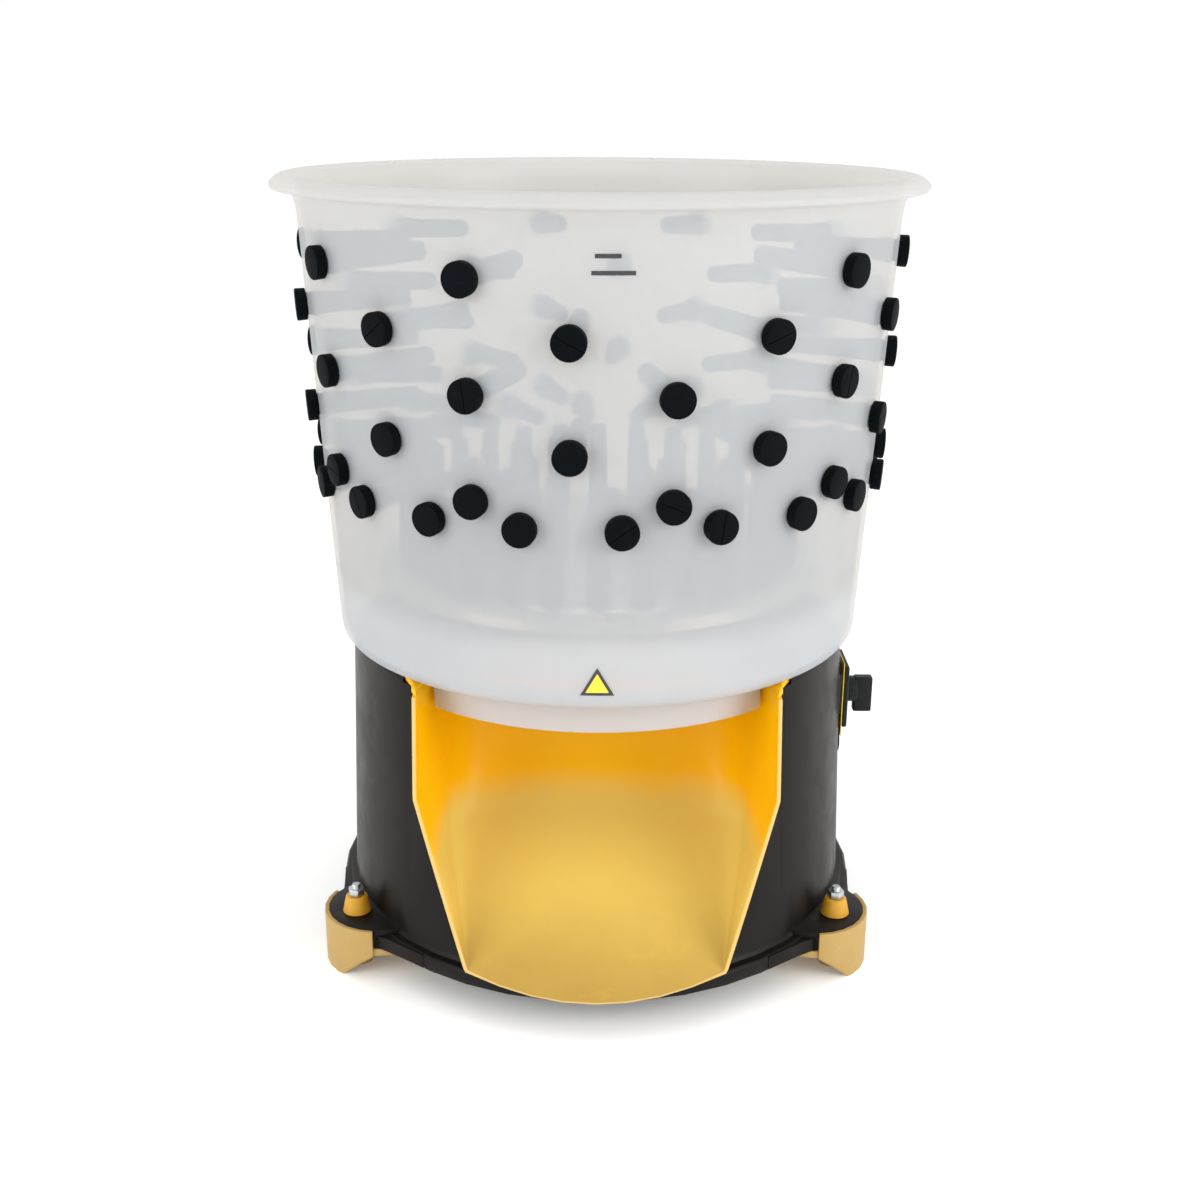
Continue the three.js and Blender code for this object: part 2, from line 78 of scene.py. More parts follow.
# Rounds the corners of a profile; each point is (radius, height, corner radius).
def softProfile(points, steps=4, closed=False):
    result = []
    count = len(points)
    for i, (r, z, soft) in enumerate(points):
        here = Vector((r, z))
        atEnd = not closed and i in (0, count - 1)
        if soft <= 0 or atEnd:
            result.append((r, z))
            continue
        before = Vector(points[i - 1][:2]) - here
        after = Vector(points[(i + 1) % count][:2]) - here
        cut = min(soft, before.length * 0.49, after.length * 0.49)
        first = here + before.normalized() * cut
        last = here + after.normalized() * cut
        for k in range(steps + 1):
            t = k / steps
            point = first * (1 - t) ** 2 + here * 2 * t * (1 - t) + last * t * t
            result.append((point.x, point.y))
    return result


# A profile in millimetres turned about Z; closed joins its last point to its first.
def turnedBody(profile, segments, closed=False, place=None):
    body = bmesh.new()
    points = [body.verts.new((r * mm, 0, z * mm)) for r, z in profile]
    edges = [body.edges.new(pair) for pair in zip(points, points[1:])]
    if closed:
        edges.append(body.edges.new((points[-1], points[0])))
    bmesh.ops.spin(body, geom=points + edges, cent=(0, 0, 0), axis=(0, 0, 1),
                   angle=2 * math.pi, steps=segments, use_merge=True)
    bmesh.ops.remove_doubles(body, verts=body.verts, dist=1e-6)
    bmesh.ops.recalc_face_normals(body, faces=body.faces)
    if place is not None:
        bmesh.ops.transform(body, matrix=place, verts=body.verts)
    return body


def bevelSharp(body, width, sharperThan=30, segments=2, keep=lambda edge: True):
    edges = [e for e in body.edges if len(e.link_faces) == 2
             and e.calc_face_angle(0) > math.radians(sharperThan) and keep(e)]
    bmesh.ops.bevel(body, geom=edges, offset=width * mm, offset_type="OFFSET", segments=segments,
                    profile=0.5, affect="EDGES", clamp_overlap=True, material=-1)
    return body


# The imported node's own shape, welded, with its flat areas joined.
def cadCopy(node, flat=1.0):
    body = bmesh.new()
    body.from_mesh(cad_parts[node].data)
    bmesh.ops.remove_doubles(body, verts=body.verts, dist=3e-6)
    bmesh.ops.dissolve_limit(body, angle_limit=math.radians(flat), verts=body.verts,
                             edges=body.edges)
    return body


def joinInto(body, other):
    spare = bpy.data.meshes.new("spare")
    other.to_mesh(spare)
    body.from_mesh(spare)
    bpy.data.meshes.remove(spare)
    other.free()
    return body


def copyInto(body, mesh, matrix):
    before = len(body.verts)
    body.from_mesh(mesh)
    body.verts.ensure_lookup_table()
    bmesh.ops.transform(body, matrix=matrix, verts=body.verts[before:])


def boxBody(low, high, width, segments=3):
    body = bmesh.new()
    bmesh.ops.create_cube(body, size=1.0)
    middle = (Vector(low) + Vector(high)) / 2 * mm
    size = (Vector(high) - Vector(low)) * mm
    bmesh.ops.scale(body, vec=size, verts=body.verts)
    bmesh.ops.translate(body, vec=middle, verts=body.verts)
    bmesh.ops.bevel(body, geom=body.edges[:], offset=width * mm, offset_type="OFFSET",
                    segments=segments, profile=0.5, affect="EDGES", clamp_overlap=True, material=-1)
    return body


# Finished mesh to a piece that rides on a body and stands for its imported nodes.
def makePiece(name, body, materials, rides, nodes=(), smooth=32):
    mesh = bpy.data.meshes.new(name)
    body.to_mesh(mesh)
    body.free()
    for material in materials if isinstance(materials, list) else [materials]:
        mesh.materials.append(material)
    mesh.shade_smooth()
    mesh.set_sharp_from_angle(angle=math.radians(smooth))
    piece = bpy.data.objects.new(name, mesh)
    scene.collection.objects.link(piece)
    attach(piece, rides)
    if nodes:
        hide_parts(*nodes)
    return piece


# Azimuth 0 is the front and grows towards the switch side.
def aroundAxis(azimuth):
    return Matrix.Rotation(math.radians(azimuth), 4, "Z")


def centreOf(node):
    low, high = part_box(node)
    return (low + high) / 2


# ---- materials ----
print("materials")

tubLook = {
    "body": "#dadfe5", "tint": "#d1d8df", "clear": "#f3ece2",
    "seeThrough": 0.54, "thickBottom": 0.12, "bottomHeight": 0.335, "glow": 0.22,
    "roughness": 0.34, "peelMm": 3.2, "cloudMm": 46,
}


# Natural polyethylene, moulded thin: cloudy white, with soft dark shapes showing through the wall.
def milkyPolyethylene(look):
    material = emptyMaterial("milkyPolyethyleneMoulded")
    tree = material.node_tree
    place = addNode(tree, "ShaderNodeTexCoord").outputs["Object"]
    cloud = addNode(tree, "ShaderNodeTexNoise", inputs={
        "Vector": place, "Scale": 1000 / look["cloudMm"], "Detail": 4.0, "Roughness": 0.55})
    peel = addNode(tree, "ShaderNodeTexNoise", inputs={
        "Vector": place, "Scale": 1000 / look["peelMm"], "Detail": 3.0, "Roughness": 0.6})
    scratchPlace = addNode(tree, "ShaderNodeMapping", inputs={
        "Vector": place, "Scale": (1.0, 1.0, 0.12), "Rotation": (0.3, 0.2, 0.0)})
    scratch = addNode(tree, "ShaderNodeTexNoise", inputs={
        "Vector": scratchPlace.outputs[0], "Scale": 420.0, "Detail": 2.0})
    colour = addNode(tree, "ShaderNodeMix", {"data_type": "RGBA"}, {
        0: cloud.outputs["Fac"], 6: toLinear(look["body"]), 7: toLinear(look["tint"])})
    shine = addNode(tree, "ShaderNodeMapRange", inputs={
        "Value": scratch.outputs["Fac"], "From Min": 0.35, "From Max": 0.75,
        "To Min": look["roughness"] - 0.05, "To Max": look["roughness"] + 0.14})
    bump = addNode(tree, "ShaderNodeBump", inputs={
        "Height": peel.outputs["Fac"], "Strength": 0.12, "Distance": 0.0006})
    shell = addNode(tree, "ShaderNodeBsdfPrincipled", inputs={
        "Base Color": colour.outputs[2], "Roughness": shine.outputs[0],
        "Normal": bump.outputs[0], "IOR": 1.51})
    glow = addNode(tree, "ShaderNodeBsdfTranslucent", inputs={"Color": colour.outputs[2]})
    clear = addNode(tree, "ShaderNodeBsdfTransparent", inputs={"Color": toLinear(look["clear"])})
    haze = addNode(tree, "ShaderNodeMixShader", inputs={
        0: look["glow"], 1: shell.outputs[0], 2: glow.outputs[0]})
    through = addNode(tree, "ShaderNodeMapRange", inputs={
        "Value": cloud.outputs["Fac"], "From Min": 0.3, "From Max": 0.7,
        "To Min": look["seeThrough"] + 0.015, "To Max": look["seeThrough"] - 0.015})
    height = addNode(tree, "ShaderNodeSeparateXYZ", inputs={"Vector": place}).outputs["Z"]
    thicker = addNode(tree, "ShaderNodeMapRange", {"interpolation_type": "SMOOTHSTEP"}, {
        "Value": height, "From Min": look["bottomHeight"], "From Max": look["bottomHeight"] + 0.03,
        "To Min": look["thickBottom"], "To Max": 0.0})  # the moulding is thicker towards its floor
    share = addNode(tree, "ShaderNodeMath", {"operation": "SUBTRACT"}, {
        0: through.outputs[0], 1: thicker.outputs[0]})
    mixed = addNode(tree, "ShaderNodeMixShader", inputs={
        0: share.outputs[0], 1: haze.outputs[0], 2: clear.outputs[0]})
    addNode(tree, "ShaderNodeOutputMaterial", inputs={"Surface": mixed.outputs[0]})
    return material


# Moulded plastics and rubber: a fine grain from the mould, slow patches, rubbed and dusty places, and,
# where a look lists them, bands of painted sheen and shade laid on below set heights.
def mouldedMaterial(name, look):
    material = emptyMaterial(name)
    tree = material.node_tree
    place = addNode(tree, "ShaderNodeTexCoord").outputs["Object"]
    patch = addNode(tree, "ShaderNodeTexNoise", inputs={
        "Vector": place, "Scale": 1000 / look["patchMm"], "Detail": 5.0, "Roughness": 0.6})
    grain = addNode(tree, "ShaderNodeTexNoise", inputs={
        "Vector": place, "Scale": 1000 / look["grainMm"], "Detail": 3.0, "Roughness": 0.65})
    rub = addNode(tree, "ShaderNodeTexNoise", inputs={
        "Vector": place, "Scale": 1000 / look["rubMm"], "Detail": 6.0, "Roughness": 0.7,
        "Distortion": 0.6})
    body = addNode(tree, "ShaderNodeMix", {"data_type": "RGBA"}, {
        0: patch.outputs["Fac"], 6: toLinear(look["deep"]), 7: toLinear(look["body"])})
    under = body.outputs[2]
    for paintedTone, top, fade in look.get("paintedSheenShadeZones", []):  # painted sheen and shade: each tone covers everything below one height, fading out above it
        height = addNode(tree, "ShaderNodeSeparateXYZ", inputs={"Vector": place}).outputs["Z"]
        wobble = addNode(tree, "ShaderNodeMath", {"operation": "MULTIPLY_ADD"}, {
            0: patch.outputs["Fac"], 1: 0.03, 2: height})
        paintedZone = addNode(tree, "ShaderNodeMapRange", {"interpolation_type": "SMOOTHSTEP"}, {
            "Value": wobble.outputs[0], "From Min": top,
            "From Max": top + fade, "To Min": 1.0, "To Max": 0.0})
        under = addNode(tree, "ShaderNodeMix", {"data_type": "RGBA"}, {
            0: paintedZone.outputs[0], 6: under, 7: toLinear(paintedTone)}).outputs[2]
    worn = addNode(tree, "ShaderNodeMapRange", inputs={
        "Value": rub.outputs["Fac"], "From Min": 0.56, "From Max": 0.78,
        "To Min": 0.0, "To Max": look["wear"]})
    colour = addNode(tree, "ShaderNodeMix", {"data_type": "RGBA"}, {
        0: worn.outputs[0], 6: under, 7: toLinear(look["worn"])})
    shine = addNode(tree, "ShaderNodeMapRange", inputs={
        "Value": rub.outputs["Fac"], "From Min": 0.3, "From Max": 0.75,
        "To Min": look["roughness"] - 0.05, "To Max": look["roughness"] + 0.1})
    bump = addNode(tree, "ShaderNodeBump", inputs={
        "Height": grain.outputs["Fac"], "Strength": look["bump"], "Distance": 0.0005})
    shader = addNode(tree, "ShaderNodeBsdfPrincipled", inputs={
        "Base Color": colour.outputs[2], "Roughness": shine.outputs[0],
        "Normal": bump.outputs[0], "IOR": look["ior"],
        "Specular IOR Level": look.get("specular", 0.5)})
    addNode(tree, "ShaderNodeOutputMaterial", inputs={"Surface": shader.outputs[0]})
    return material


# Metals: brushing or casting grain in the bump and the gloss, and faint stains.
def metalMaterial(name, look):
    material = emptyMaterial(name)
    tree = material.node_tree
    place = addNode(tree, "ShaderNodeTexCoord").outputs["Object"]
    along = addNode(tree, "ShaderNodeMapping", inputs={"Vector": place, "Scale": look["stretch"]})
    grain = addNode(tree, "ShaderNodeTexNoise", inputs={
        "Vector": along.outputs[0], "Scale": 1000 / look["grainMm"], "Detail": 3.0})
    stain = addNode(tree, "ShaderNodeTexNoise", inputs={
        "Vector": place, "Scale": 1000 / look["stainMm"], "Detail": 5.0, "Roughness": 0.6})
    colour = addNode(tree, "ShaderNodeMix", {"data_type": "RGBA"}, {
        0: stain.outputs["Fac"], 6: toLinear(look["body"]), 7: toLinear(look["stained"])})
    shine = addNode(tree, "ShaderNodeMapRange", inputs={
        "Value": grain.outputs["Fac"], "From Min": 0.3, "From Max": 0.7,
        "To Min": look["roughness"] - 0.06, "To Max": look["roughness"] + 0.1})
    bump = addNode(tree, "ShaderNodeBump", inputs={
        "Height": grain.outputs["Fac"], "Strength": look["bump"], "Distance": 0.0003})
    shader = addNode(tree, "ShaderNodeBsdfPrincipled", inputs={
        "Base Color": colour.outputs[2], "Roughness": shine.outputs[0],
        "Normal": bump.outputs[0], "Metallic": look["metallic"]})
    addNode(tree, "ShaderNodeOutputMaterial", inputs={"Surface": shader.outputs[0]})
    return material


milkyTub = milkyPolyethylene(tubLook)

# Natural rubber with carbon black, pressed in a mould: nearly black, dull, greyer where it is rubbed.
fingerRubber = mouldedMaterial("fingerRubberMoulded", {
    "deep": "#05080a", "body": "#080c0f", "worn": "#171d20", "wear": 0.5, "roughness": 0.6,
    "patchMm": 30, "grainMm": 0.9, "rubMm": 9, "bump": 0.25, "ior": 1.52, "specular": 0.04})
# Black polypropylene, injection moulded: charcoal with a satin sheen that lightens towards the sides.
baseShellPlastic = mouldedMaterial("charcoalPolypropyleneMoulded", {
    "deep": "#100d0b", "body": "#14110e", "worn": "#231f1c", "wear": 0.25, "roughness": 0.36,
    "patchMm": 90, "grainMm": 1.1, "rubMm": 26, "bump": 0.14, "ior": 1.49, "specular": 0.15})
# Chute polypropylene, smooth tool: strong warm yellow with a soft gloss and faint feather scuffs; down
# the ramp a paler band is painted sheen, and a darker band at the lip is painted shade with some dirt.
chutePlastic = mouldedMaterial("yellowPolypropyleneMoulded", {
    "deep": "#f2b000", "body": "#f8ba00", "worn": "#eebe40", "wear": 0.2, "roughness": 0.36,
    # below 0.15 m a paler tone of painted sheen; below 0.045 m a darker tone of painted shade at the
    # lip, with some dirt
    "paintedSheenShadeZones": [("#dcbc5c", 0.15, 0.032), ("#ac8a40", 0.045, 0.075)], "specular": 0.15,
    "patchMm": 120, "grainMm": 1.6, "rubMm": 38, "bump": 0.07, "ior": 1.49})
# The same plastic where it was trimmed: a pale, slightly whitened edge.
trimmedEdge = mouldedMaterial("yellowPolypropyleneTrimmed", {
    "deep": "#cfa95c", "body": "#dab672", "worn": "#e0c795", "wear": 0.5, "roughness": 0.4,
    "patchMm": 24, "grainMm": 0.9, "rubMm": 7, "bump": 0.15, "ior": 1.49})
# Softer polyethylene of the feet: paler and duller, with dust in the texture.
footPlastic = mouldedMaterial("paleYellowPolyethyleneMoulded", {
    "deep": "#ad8b4a", "body": "#b39557", "worn": "#b09f7c", "wear": 0.6, "roughness": 0.55,
    "patchMm": 34, "grainMm": 1.2, "rubMm": 12, "bump": 0.22, "ior": 1.5})
# Cones over the foot bolts: the chute's yellow, a little rougher from handling.
capPlastic = mouldedMaterial("coneYellowPolypropylene", {
    "deep": "#c8901a", "body": "#d09c26", "worn": "#c8a24a", "wear": 0.4, "roughness": 0.42,
    "patchMm": 20, "grainMm": 0.9, "rubMm": 7, "bump": 0.14, "ior": 1.49})
# Black polyamide of switch, knob and inlet: tight satin grain.
switchPlastic = mouldedMaterial("blackPolyamideSatin", {
    "deep": "#0c1011", "body": "#111516", "worn": "#23292a", "wear": 0.35, "roughness": 0.45,
    "patchMm": 26, "grainMm": 0.7, "rubMm": 6, "bump": 0.2, "ior": 1.53, "specular": 0.2})
# Screen-printed vinyl: even yellow, faint mottling of the ink.
labelVinyl = mouldedMaterial("printedVinylYellow", {
    "deep": "#eec52a", "body": "#f3cf3c", "worn": "#e3c668", "wear": 0.3, "roughness": 0.4,
    "patchMm": 14, "grainMm": 0.8, "rubMm": 5, "bump": 0.05, "ior": 1.5})
# Printed black ink on the vinyl and the tub: thin and a little uneven.
printInk = mouldedMaterial("printInkBlack", {
    "deep": "#26282a", "body": "#34373a", "worn": "#5c6063", "wear": 0.7, "roughness": 0.5,
    "patchMm": 6, "grainMm": 0.6, "rubMm": 3, "bump": 0.05, "ior": 1.5})
# Alkyd paint sprayed on the motor's ribs: even grey with a light orange peel.
motorPaint = mouldedMaterial("sprayedGreyPaint", {
    "deep": "#5f666b", "body": "#6d7479", "worn": "#8b9093", "wear": 0.4, "roughness": 0.4,
    "patchMm": 40, "grainMm": 1.4, "rubMm": 14, "bump": 0.18, "ior": 1.5})
# Stainless sheet of the finger plate, brushed: soft streaks of light across it.
brushedStainless = metalMaterial("brushedStainlessSheet", {
    "body": "#c3c6c8", "stained": "#adb1b3", "roughness": 0.3, "metallic": 1.0,
    "stretch": (1.0, 0.05, 1.0), "grainMm": 0.9, "stainMm": 55, "bump": 0.2})
# Turned steel of shaft, bearings and cap nut: finer and brighter.
turnedSteel = metalMaterial("turnedSteelBright", {
    "body": "#c8cacc", "stained": "#b4b7b9", "roughness": 0.24, "metallic": 1.0,
    "stretch": (0.2, 0.2, 1.0), "grainMm": 0.6, "stainMm": 18, "bump": 0.15})
# Bright zinc on screws and motor plate: pale, slightly blue, cloudy.
brightZinc = metalMaterial("brightZincPlated", {
    "body": "#cdd0d2", "stained": "#b3b8bb", "roughness": 0.34, "metallic": 1.0,
    "stretch": (1.0, 1.0, 1.0), "grainMm": 0.8, "stainMm": 9, "bump": 0.2})
# Sand-cast aluminium of hub, housing and pulleys: dull grey with a pebbly skin.
castAluminium = metalMaterial("sandCastAluminium", {
    "body": "#9fa3a6", "stained": "#868b8e", "roughness": 0.5, "metallic": 1.0,
    "stretch": (1.0, 1.0, 1.0), "grainMm": 1.3, "stainMm": 22, "bump": 0.5})


# ---- tub ----
print("tub")

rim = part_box("tub")[1]
tubSizes = {
    "segments": 160, "floorRing": 206, "floorLow": 291, "floorHigh": 295,
    "collarLow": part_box("tub")[0].z / mm, "bossRadius": 22, "bossHole": 14, "bossTop": 315,
    # outer wall from the floor up, over the rolled rim, and down the inside
    "wall": [
        (206, 291, 0), (236.6, 291, 21), (257.9, 668, 14), (262.2, 682.6, 6),
        (278.4, 683.4, 2.4), (rim.x / mm, 687.8, 2.6), (rim.x / mm - 7.5, rim.z / mm, 5),
        (260.2, rim.z / mm, 6), (253.9, 680, 16), (233.1, 295, 19), (206, 295, 0),
    ],
    "outletOuter": (204.5, 139, -75, 122.5), "outletInner": (200.5, 134.8, -79, 118.5),
}


# Outlet in the floor: a front arc, two short sides and a straight rear edge.
def outletLoop(body, plan, z, steps=28):
    radius, half, rear, rearHalf = plan
    edge = math.asin(half / radius)
    angles = [edge - 2 * edge * i / steps for i in range(steps + 1)]
    points = [(rearHalf, rear)] + [(radius * math.sin(a), -radius * math.cos(a)) for a in angles]
    points.append((-rearHalf, rear))
    verts = [body.verts.new((x * mm, y * mm, z * mm)) for x, y in points]
    return [body.edges.new((verts[i - 1], verts[i])) for i in range(len(verts))]


def ringEdges(body, radius, z):
    found = []
    for edge in body.edges:
        if len(edge.link_faces) == 1 and all(
                abs(v.co.z - z * mm) < 1e-5 and abs(v.co.xy.length - radius * mm) < 1e-5
                for v in edge.verts):
            found.append(edge)
    return found


def buildTub(sizes):
    body = turnedBody(softProfile(sizes["wall"], 6), sizes["segments"])
    boss = turnedBody(softProfile([
        (sizes["bossRadius"], sizes["floorHigh"], 0), (21.2, sizes["bossTop"], 1.6),
        (14, sizes["bossTop"], 1.2), (sizes["bossHole"], sizes["floorLow"], 0)], 3), 48)
    joinInto(body, boss)
    low, high = sizes["floorLow"], sizes["floorHigh"]
    outerTop = outletLoop(body, sizes["outletOuter"], low)
    innerTop = outletLoop(body, sizes["outletInner"], high)
    outerLow = outletLoop(body, sizes["outletOuter"], sizes["collarLow"])
    innerLow = outletLoop(body, sizes["outletInner"], sizes["collarLow"])
    under = ringEdges(body, sizes["floorRing"], low) + outerTop
    under += ringEdges(body, sizes["bossHole"], low)
    above = ringEdges(body, sizes["floorRing"], high) + innerTop
    above += ringEdges(body, sizes["bossRadius"], high)
    bmesh.ops.triangle_fill(body, edges=under, use_beauty=True, normal=(0, 0, -1))
    bmesh.ops.triangle_fill(body, edges=above, use_beauty=True, normal=(0, 0, 1))
    bmesh.ops.bridge_loops(body, edges=outerTop + outerLow)
    bmesh.ops.bridge_loops(body, edges=outerLow + innerLow)
    bmesh.ops.bridge_loops(body, edges=innerLow + innerTop)
    bmesh.ops.recalc_face_normals(body, faces=body.faces)
    lip = lambda e: all(abs(v.co.z - sizes["collarLow"] * mm) < 1e-5 for v in e.verts)
    bevelSharp(body, 1.1, 60, 2, lip)
    return body


makePiece("tub_moulding", buildTub(tubSizes), milkyTub, "frame", ["tub"])


# ---- rubber fingers ----
print("rubber fingers")

wallFinger = {"length": 88, "rootRadius": 9.4, "tipRadius": 7.4, "headRadius": 13.6,
              "headDepth": 9.0, "headGap": 0.5, "panel": 4.4, "ribPitch": 6.2, "ribHeight": 0.75}
plateFinger = {"length": 79.9, "rootRadius": 9.3, "tipRadius": 7.9, "headRadius": 13.0,
               "headDepth": 8.0, "headGap": 0.2, "panel": 4.2, "ribPitch": 6.2, "ribHeight": 0.75}
wall = {"lowRadius": 238, "lowZ": 310, "highRadius": 258, "highZ": 670}
fingerRows = [
    {"z": 632, "start": 13.2, "step": 36, "skip": 0},
    {"z": 589, "start": -4.8, "step": 36, "skip": -1},
    {"z": 546, "start": 13.2, "step": 36, "skip": -1},
    {"z": 503, "start": -4.8, "step": 36, "skip": -1},
    {"z": 463.5, "start": 13.2, "step": 36, "skip": -1},
    {"z": 444.5, "start": 4.2, "step": 18, "skip": -1},
]
wallTilt = math.atan2(wall["highRadius"] - wall["lowRadius"], wall["highZ"] - wall["lowZ"])


def wallRadius(z):
    rise = (z - wall["lowZ"]) / (wall["highZ"] - wall["lowZ"])
    return wall["lowRadius"] + rise * (wall["highRadius"] - wall["lowRadius"])


# One finger along Z: tip below, flat head on top, grip ribs down the stem.
def fingerMesh(name, size, split):
    length, root, tip = size["length"], size["rootRadius"], size["tipRadius"]
    stem = lambda s: root + (tip - root) * (-s / length)
    points = [(0, -length, 0), (tip, -length, 2.2)]
    s = -length + 4.5
    while s < -34:
        points.append((stem(s) + size["ribHeight"], s, 0.9))
        points.append((stem(s) - 0.25, s + size["ribPitch"] / 2, 0.9))
        s += size["ribPitch"]
    panel = -size["panel"]
    points += [(root - 0.3, -20, 4), (root + 0.3, panel - 7, 2), (root + 1.5, panel - 3.4, 1.2),
               (root + 0.9, panel - 0.2, 0.4), (root - 0.1, panel, 0.3), (root - 0.1, 0, 0.3)]
    bottom, top = size["headGap"], size["headGap"] + size["headDepth"]
    points += [(size["headRadius"] - 0.3, bottom, 0.6), (size["headRadius"], top, 1.3), (0, top, 0)]
    body = turnedBody(softProfile(points, 2), 24)
    if split:
        for offset in (-0.5, 0.0, 0.5):
            faces = [f for f in body.faces if all(v.co.z > (top - 0.2) * mm for v in f.verts)]
            parts = faces + list({e for f in faces for e in f.edges}) + list(
                {v for f in faces for v in f.verts})
            bmesh.ops.bisect_plane(body, geom=parts, dist=1e-7,
                                   plane_co=(offset * mm, 0, 0), plane_no=(1, 0, 0))
        for v in body.verts:
            if v.co.z > (top - 0.2) * mm and abs(v.co.x) < 1e-6:
                v.co.z -= 0.75 * mm
    mesh = bpy.data.meshes.new(name)
    body.to_mesh(mesh)
    body.free()
    return mesh


plainHead = fingerMesh("wallFingerPlain", wallFinger, False)
splitHead = fingerMesh("wallFingerSplit", wallFinger, True)
plateStem = fingerMesh("plateFinger", plateFinger, False)

for number, row in enumerate(fingerRows, 1):
    body = bmesh.new()
    for i in range(round(360 / row["step"])):
        if i == row["skip"]:
            continue
        place = (aroundAxis(row["start"] + i * row["step"])
                 @ Matrix.Translation((0, -wallRadius(row["z"]) * mm, row["z"] * mm))
                 @ Matrix.Rotation(math.pi / 2 + wallTilt, 4, "X")
                 @ aroundAxis((number * 61 + i * 47) % 180 - 60))
        copyInto(body, splitHead if (i * 3 + number) % 4 in (1, 2) else plainHead, place)
    makePiece("wall_finger_row_%d_rubber" % number, body, fingerRubber, "frame",
              ["wall_fingers_row_%d" % number], 50)

plateRings = [("inner", 66, 10), ("middle", 120, 18), ("outer", 173.5, 28)]
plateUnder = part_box("plate_fingers_outer")[0].z + plateFinger["headDepth"] * mm
for name, radius, count in plateRings:
    body = bmesh.new()
    for i in range(count):
        place = (aroundAxis(360 / count * i) @ Matrix.Translation((0, -radius * mm, plateUnder))
                 @ Matrix.Rotation(math.pi, 4, "X") @ aroundAxis(i * 47))
        copyInto(body, plateStem, place)
    makePiece("plate_finger_ring_" + name, body, fingerRubber, "rotor",
              ["plate_fingers_" + name], 50)


# ---- turning plate and hub ----
print("finger plate")

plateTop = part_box("rotor_plate")[1].z / mm
plateSizes = {"thickness": 4, "bore": 10.3, "beads": (90, 145), "beadHeight": 1.1}


def buildPlate(sizes):
    top = [(sizes["bore"], plateTop, 0)]
    under = [(sizes["bore"], plateTop - sizes["thickness"], 0)]
    for r in sizes["beads"]:
        lift = sizes["beadHeight"]
        for line, base in ((top, plateTop), (under, plateTop - sizes["thickness"])):
            line += [(r - 4, base, 1.5), (r - 1.2, base + lift - 1.1, 1.0),
                     (r + 1.2, base + lift - 1.1, 1.0), (r + 4, base, 1.5)]
    top += [(190, plateTop, 6), (198.4, 356, 5), (203, 345, 0)]
    under += [(187.5, plateTop - sizes["thickness"], 5), (194.6, 353.5, 4), (199.3, 345, 0)]
    profile = softProfile(top + under[::-1], 3)
    return turnedBody(profile, 144, closed=True)


makePiece("finger_plate_sheet", buildPlate(plateSizes), brushedStainless, "rotor",
          ["rotor_plate"])

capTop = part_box("hub_cap_nut")[1].z / mm
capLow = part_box("hub_cap_nut")[0].z / mm
makePiece("hub_cap_dome", turnedBody(softProfile([
    (0, capTop, 0), (7, capTop - 0.4, 3), (14.5, capTop - 4.5, 4), (19.6, capTop - 13.5, 2),
    (19.9, capLow + 3.2, 0.6), (18.2, capLow + 2.4, 0.5), (20, capLow + 1.6, 0.6),
    (20, capLow, 0.4), (0, capLow, 0)], 3), 64), turnedSteel, "rotor", ["hub_cap_nut"])


# ---- feather chute ----
print("chute")

chuteSizes = {
    "wall": 3.4, "corner": 46, "kink": 60, "edge": 0.9, "top": 285.2, "flangeTop": 290.5,
    "lipCorner": 51.4, "lipFront": 256, "lipHeight": 37, "slope": 0.6, "levels": 46,
    "side": [(-256, 37, 0), (-70, 148.6, 40), (-44.7, 292, 0)],  # ramp, then the steep back wall
    "flange": [(-154.5, -180), (-155.5, -168), (-164, -150), (-139, -34.2),
               (139, -34.2), (164, -150), (155.5, -168), (154.5, -180)],
}
rampLine = softProfile(chuteSizes["side"], 12)


def rampDepth(z):
    for (y0, z0), (y1, z1) in zip(rampLine, rampLine[1:]):
        if z0 <= z <= z1:
            return y0 + (y1 - y0) * (z - z0) / (z1 - z0)
    return rampLine[-1][0] if z > rampLine[-1][1] else rampLine[0][0]


def chuteHalf(y, z):
    front = 103 + (z - 33) * 0.2994 if z < 195 else 151.5 - (z - 195) * 0.019
    plan = 152 - max(0, y + 180) * 0.22 if y < -62 else 126 - (y + 62) * 0.381
    return min(front, plan)


def frontRadius(z):
    return 257 - (z - 20) * 14.5 / 275


# A level cut through the chute: front edge, side wall, round corner, back, and the same again.
def chuteSection(z, sizes):
    half = chuteHalf(-256, z)
    front = -math.sqrt(frontRadius(z) ** 2 - half ** 2)
    back = max(rampDepth(z), front + 0.02)
    kink = min(-180, (front + back) / 2)
    rear = chuteHalf(back, z)
    line = softProfile([(-half, front, 0), (-half, kink, sizes["kink"]), (-rear, back, sizes["corner"]),
                        (rear, back, sizes["corner"]), (half, kink, sizes["kink"]), (half, front, 0)], 7)
    middle = len(line) // 2
    (x0, y0), (x1, y1) = line[middle - 1], line[middle]
    across = [(x0 + (x1 - x0) * k / 8, y0 + (y1 - y0) * k / 8) for k in range(1, 8)]
    return line[:middle] + across + line[middle:]


# The lip: the ramp's end cut round, with the side walls run out to nothing.
def lipSection(corner, sizes):
    count = len(chuteSection(corner, sizes))
    half = chuteHalf(-256, corner)
    arms = (count - 9) // 2
    points = []
    for i in range(count):
        t = min(1, max(0, (i - arms) / 8))
        x = half * (2 * t - 1)
        z = 40
        for _ in range(4):
            y = -math.sqrt(frontRadius(z) ** 2 - x ** 2)
            z = sizes["lipHeight"] + sizes["slope"] * (y + sizes["lipFront"])
        points.append((x, y, z))
    return points


